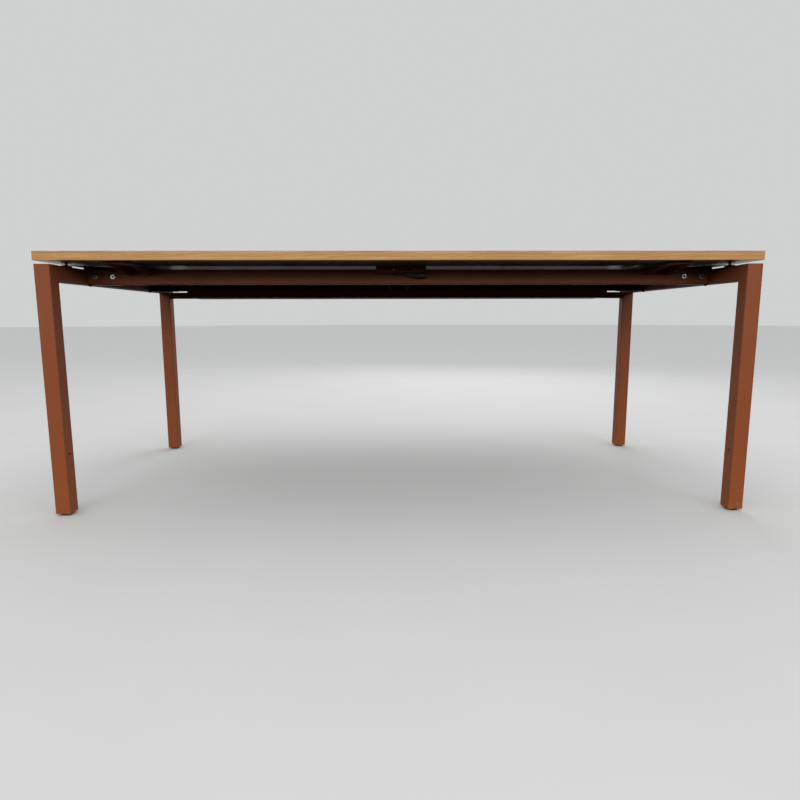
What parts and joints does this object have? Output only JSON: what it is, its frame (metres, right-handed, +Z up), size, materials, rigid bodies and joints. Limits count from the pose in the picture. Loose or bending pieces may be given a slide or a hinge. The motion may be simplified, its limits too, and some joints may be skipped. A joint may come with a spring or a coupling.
{
  "type": "office desk",
  "caption": "Rectangular office desk: oak-edged top that slides forward on a square-tube steel frame, with a release lever under the front edge, a rear cable tray and levelling feet.",
  "frame": {"origin": "on the floor under the middle of the desk", "axes": "+X to the right along the desk's length, +Y to the rear, where the cable tray is, +Z up"},
  "size_m": [2, 0.9, 0.745],
  "materials": {
    "oak": "satin lacquered",
    "veneered_board": "satin lacquered oak veneer above, dark grey sheet below",
    "copper_brown_coat": "copper-brown fine-textured powder coat",
    "zinc": "bright zinc plated",
    "black_steel": "blackened",
    "spring_steel": "drawn wire",
    "black_plastic": "fine-grained moulded",
    "rubber": "matt"
  },
  "bodies": {
    "frame": {"leg_front_left": "copper_brown_coat", "leg_front_right": "copper_brown_coat", "leg_rear_left": "copper_brown_coat", "leg_rear_right": "copper_brown_coat", "foot_insert_front_left": "black_plastic", "foot_insert_front_right": "black_plastic", "foot_insert_rear_left": "black_plastic", "foot_insert_rear_right": "black_plastic", "glide_pad_front_left": "black_plastic", "glide_pad_front_right": "black_plastic", "glide_pad_rear_left": "black_plastic", "glide_pad_rear_right": "black_plastic", "rail_bracket_front_left": "black_steel", "rail_bracket_front_right": "black_steel", "rail_bracket_rear_left": "black_steel", "rail_bracket_rear_right": "black_steel", "lock_screw_front_left": "black_steel", "lock_screw_front_right": "black_steel", "lock_screw_rear_left": "black_steel", "lock_screw_rear_right": "black_steel", "cross_tube_left": "copper_brown_coat", "cross_tube_right": "copper_brown_coat", "support_arm_left": "copper_brown_coat", "support_arm_right": "copper_brown_coat", "arm_glide_left": "black_plastic", "arm_glide_right": "black_plastic", "tray_strap_left": "copper_brown_coat", "tray_strap_right": "copper_brown_coat", "rail_front": "copper_brown_coat", "rail_rear": "copper_brown_coat", "cable_tray": "copper_brown_coat", "rail_bolt_front_left_outer": "zinc", "rail_bolt_front_left_inner": "zinc", "rail_bolt_front_right_outer": "zinc", "rail_bolt_front_right_inner": "zinc", "rail_bolt_rear_left_outer": "zinc", "rail_bolt_rear_left_inner": "zinc", "rail_bolt_rear_right_outer": "zinc", "rail_bolt_rear_right_inner": "zinc"},
    "top": {"worktop_board": "veneered_board", "edge_front": "oak", "edge_rear": "oak", "edge_left": "oak", "edge_right": "oak", "guide_strip_left": "black_plastic", "guide_strip_right": "black_plastic", "travel_stop_left": "black_plastic", "travel_stop_right": "black_plastic", "catch_housing": "copper_brown_coat", "lever_pivot_screw": "zinc", "lever_stop_pin": "black_steel", "lever_spring": "spring_steel"},
    "lever": {"release_lever": "black_plastic", "brake_pad": "rubber"},
    "foot_front_left": {"foot_front_left": "black_plastic"},
    "foot_front_right": {"foot_front_right": "black_plastic"},
    "foot_rear_left": {"foot_rear_left": "black_plastic"},
    "foot_rear_right": {"foot_rear_right": "black_plastic"}
  },
  "joints": [
    {"name": "top_slide", "type": "slide", "parent": "frame", "child": "top", "axis": [0, -1, 0], "range_m": [0, 0.2]},
    {"name": "lever_pivot", "type": "hinge", "parent": "top", "child": "lever", "pos_m": [-0.0225, -0.266, 0.7084], "axis": [0, 1, 0], "range_deg": [0, 10], "stiffness_Nm_per_rad": 0.15, "springref_deg": -22.92},
    {"name": "foot_screw_front_left", "type": "slide", "parent": "frame", "child": "foot_front_left", "axis": [0, 0, -1], "range_m": [0, 0.012]},
    {"name": "foot_screw_front_right", "type": "slide", "parent": "frame", "child": "foot_front_right", "axis": [0, 0, -1], "range_m": [0, 0.012]},
    {"name": "foot_screw_rear_left", "type": "slide", "parent": "frame", "child": "foot_rear_left", "axis": [0, 0, -1], "range_m": [0, 0.012]},
    {"name": "foot_screw_rear_right", "type": "slide", "parent": "frame", "child": "foot_rear_right", "axis": [0, 0, -1], "range_m": [0, 0.012]}
  ]
}
